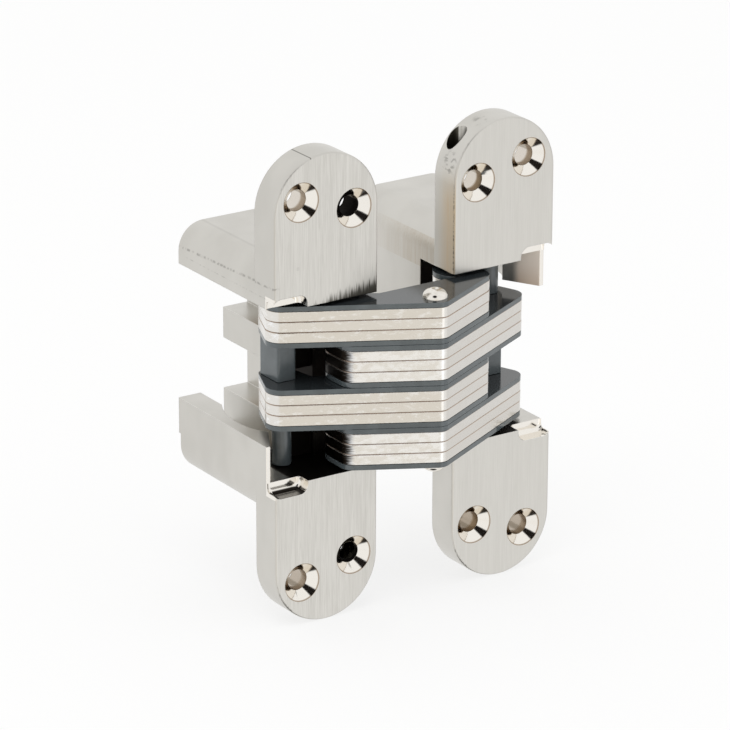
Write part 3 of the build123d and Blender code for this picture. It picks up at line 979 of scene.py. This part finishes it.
# %% [markdown]
# ## Floor, light and camera
#
# The photograph is a product shot, white all round. Polished metal is mostly a picture of the room, so the
# room matters more than the lamp. The room here is the world's colour by direction. It is white, with a warm
# dim patch low in front, a bright window beside it, a dimmer right side, a dark card near the lens, which
# puts the black arcs into the countersinks, and a dark patch straight below. The camera sees plain white
# instead. The floor shows its soft shadow to the camera and is left out of the reflections, which would only
# repeat it.

# %% White room
FLOOR_HALF = 5.0
FLOOR_COLOUR = (0.93, 0.93, 0.925, 1.0)
FLOOR_ROUGH = 0.9
FLOOR_GLOW = 0.75
ROOM_WHITE = (0.97, 0.97, 0.965, 1.0)
SEEN_WHITE = (1.0, 1.0, 1.0, 1.0)
ROOM_PATCHES = (
    ("warm paper", (-0.36, -0.865, -0.347), 14, 34, (0.885, 0.85, 0.785, 1.0)),
    ("window", (0.22, -0.91, -0.347), 6, 14, (1.3, 1.29, 1.27, 1.0)),
    ("right side", (0.937, -0.01, -0.347), 18, 42, (0.82, 0.815, 0.805, 1.0)),
    ("dark card", (-0.47, -0.61, 0.64), 14, 20, (0.012, 0.010, 0.009, 1.0)),
    ("dark below", (-0.12, -0.12, -0.985), 12, 22, (0.03, 0.026, 0.022, 1.0)),
)
KEY_PLACE = (-0.5, -0.4, 1.3)
KEY_WIDTH = 0.8
KEY_POWER = 4.0


def studio_floor():
    mesh = bpy.data.meshes.new("studio_floor")
    low = cad_low.z
    corners = [(-FLOOR_HALF, -FLOOR_HALF, low), (FLOOR_HALF, -FLOOR_HALF, low),
               (FLOOR_HALF, FLOOR_HALF, low), (-FLOOR_HALF, FLOOR_HALF, low)]
    mesh.from_pydata(corners, [], [(0, 1, 2, 3)])
    floor = bpy.data.objects.new("studio_floor", mesh)
    bpy.context.scene.collection.objects.link(floor)
    floor.visible_glossy = False
    constants = {"Roughness": FLOOR_ROUGH, "Base Color": FLOOR_COLOUR}
    material, shader, board = new_finish("floor_paper", constants)
    glow = board.node("ShaderNodeEmission", None, {"Color": SEEN_WHITE, "Strength": 1.0})
    seen = board.node("ShaderNodeLightPath", output="Is Camera Ray") * FLOOR_GLOW
    paper = Wire(material.node_tree, shader.outputs["BSDF"])
    shown = board.node("ShaderNodeMixShader", None, {0: seen, 1: paper, 2: glow})
    material.node_tree.links.new(shown.socket, material.node_tree.nodes["Material Output"].inputs["Surface"])
    mesh.materials.append(material)


def studio_world():
    world = bpy.data.worlds.new("studio_world")
    bpy.context.scene.world = world
    world.use_nodes = True
    board = Wire(world.node_tree)
    sky = board.node("ShaderNodeTexCoord", output="Generated")
    colour = ROOM_WHITE
    for name, toward, full, gone, tint in ROOM_PATCHES:
        aim = Vector(toward).normalized()
        near = board.node("ShaderNodeVectorMath", {"operation": "DOT_PRODUCT"}, {0: sky, 1: aim}, output=1)
        patch = near.smooth(math.cos(math.radians(gone)), math.cos(math.radians(full)))
        colour = patch.mix(colour, tint)
    seen = board.node("ShaderNodeLightPath", output="Is Camera Ray")
    background = world.node_tree.nodes["Background"]
    world.node_tree.links.new(seen.mix(colour, SEEN_WHITE).socket, background.inputs["Color"])
    background.inputs["Strength"].default_value = 1.0


def key_softbox():
    """A square lamp above the left front, aimed at the hinge's middle and left out of its reflections."""
    light = bpy.data.lights.new("key_softbox", "AREA")
    light.energy = KEY_POWER
    light.size = KEY_WIDTH
    lamp = bpy.data.objects.new("key_softbox", light)
    lamp.location = KEY_PLACE
    lamp.rotation_euler = (-Vector(KEY_PLACE)).to_track_quat("-Z", "Y").to_euler()
    lamp.visible_glossy = False
    bpy.context.scene.collection.objects.link(lamp)


studio_floor()
studio_world()
key_softbox()
print("studio: floor at", round(cad_low.z / MM, 2), "mm")

# %% Camera at the photograph's angle
AZIMUTH = math.radians(33.39)
ELEVATION = math.radians(20.32)
ROLL = math.radians(0.16)
OBJECT_RIGHT = 12.13 * MM
OBJECT_UP = -1.15 * MM
DISTANCE = 1080.8 * MM
IMAGE_PIXELS = 730
FOCAL_PIXELS = 4500
SENSOR_MM = 36.0


def photo_camera():
    right = Vector((math.cos(AZIMUTH), -math.sin(AZIMUTH), 0))
    forward = Vector((math.sin(AZIMUTH) * math.cos(ELEVATION), math.cos(AZIMUTH) * math.cos(ELEVATION),
                      -math.sin(ELEVATION)))
    up = right.cross(forward)
    rolled_right = right * math.cos(ROLL) + up * math.sin(ROLL)
    rolled_up = up * math.cos(ROLL) - right * math.sin(ROLL)
    face_middle = Vector((0, face_y, 0))
    place = face_middle - rolled_right * OBJECT_RIGHT - rolled_up * OBJECT_UP - forward * DISTANCE
    data = bpy.data.cameras.new("photo_camera")
    data.sensor_width = SENSOR_MM
    data.lens = FOCAL_PIXELS / IMAGE_PIXELS * SENSOR_MM
    camera = bpy.data.objects.new("photo_camera", data)
    turn = Matrix((rolled_right, rolled_up, -forward)).transposed().to_4x4()
    camera.matrix_world = Matrix.Translation(place) @ turn
    bpy.context.scene.collection.objects.link(camera)
    bpy.context.scene.camera = camera
    return camera


camera = photo_camera()
bpy.context.scene.view_settings.view_transform = "Standard"
print("camera at", [round(part, 4) for part in camera.matrix_world.translation])
